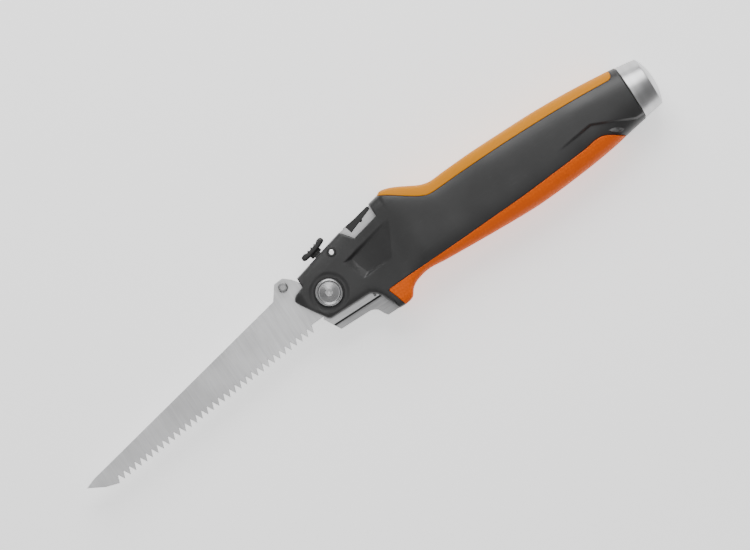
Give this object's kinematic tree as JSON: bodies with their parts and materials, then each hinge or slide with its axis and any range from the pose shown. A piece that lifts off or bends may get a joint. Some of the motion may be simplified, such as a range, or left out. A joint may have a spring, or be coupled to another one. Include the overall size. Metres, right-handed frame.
{
  "type": "folding drywall saw",
  "caption": "Hand saw for drywall: a tapered toothed blade folds about a bolt into a two-shell handle with grip pads, a thumb lock and a metal end cap.",
  "frame": {"origin": "where the pivot axis meets the outer face of the far-side pivot nut", "axes": "+X along the handle from the pivot to the butt, +Y towards the spine, +Z along the pivot axis towards the near side"},
  "size_m": [0.3618, 0.0565, 0.0304],
  "materials": {
    "blade_steel": "brushed along the blade",
    "bright_steel": "turned, bright",
    "frame_steel": "satin, finely blasted",
    "dark_steel": "black oxide",
    "bearing_brass": "turned",
    "cap_aluminium": "satin turned",
    "charcoal_shell": "satin, fine grain",
    "black_plastic": "matte",
    "black_rubber": "matte",
    "washer_nylon": "natural nylon",
    "amber_strip": "smooth soft-touch",
    "orange_grip": "soft-touch with fine dimples"
  },
  "bodies": {
    "handle": {"pivot_bolt": "bright_steel", "pivot_nut": "bright_steel", "pivot_bushing": "bearing_brass", "pivot_ring": "black_plastic", "near_washer": "washer_nylon", "far_washer": "washer_nylon", "near_frame_plate": "frame_steel", "far_frame_plate": "frame_steel", "slot_trim": "black_rubber", "near_shell": "charcoal_shell", "far_shell": "charcoal_shell", "spine_strip": "amber_strip", "near_grip": "orange_grip", "far_grip": "orange_grip", "spine_spacer": "black_plastic", "butt_block": "dark_steel", "end_cap": "cap_aluminium", "cap_collar": "dark_steel", "cap_pin": "bright_steel", "guide_pin": "bright_steel", "guide_pin_ring": "black_plastic", "stop_pin": "bright_steel", "body_screws": "dark_steel", "screw_inserts": "bearing_brass", "lock_spring": "bright_steel"},
    "saw": {"saw_blade": "blade_steel", "thumb_stud": "bright_steel"},
    "lock": {"lock_slider": "black_plastic", "lock_bar": "frame_steel", "lock_rivet": "bright_steel"}
  },
  "joints": [
    {"name": "saw_fold", "type": "hinge", "parent": "handle", "child": "saw", "pos_m": [0, 0, 0.0127], "axis": [0, 0, 1], "range_deg": [0, 168]},
    {"name": "lock_slide", "type": "slide", "parent": "handle", "child": "lock", "axis": [0.9636, 0.2672, 0], "range_m": [-0.003, 0.005], "stiffness_N_per_m": 300, "deforming": ["lock_spring"]}
  ]
}
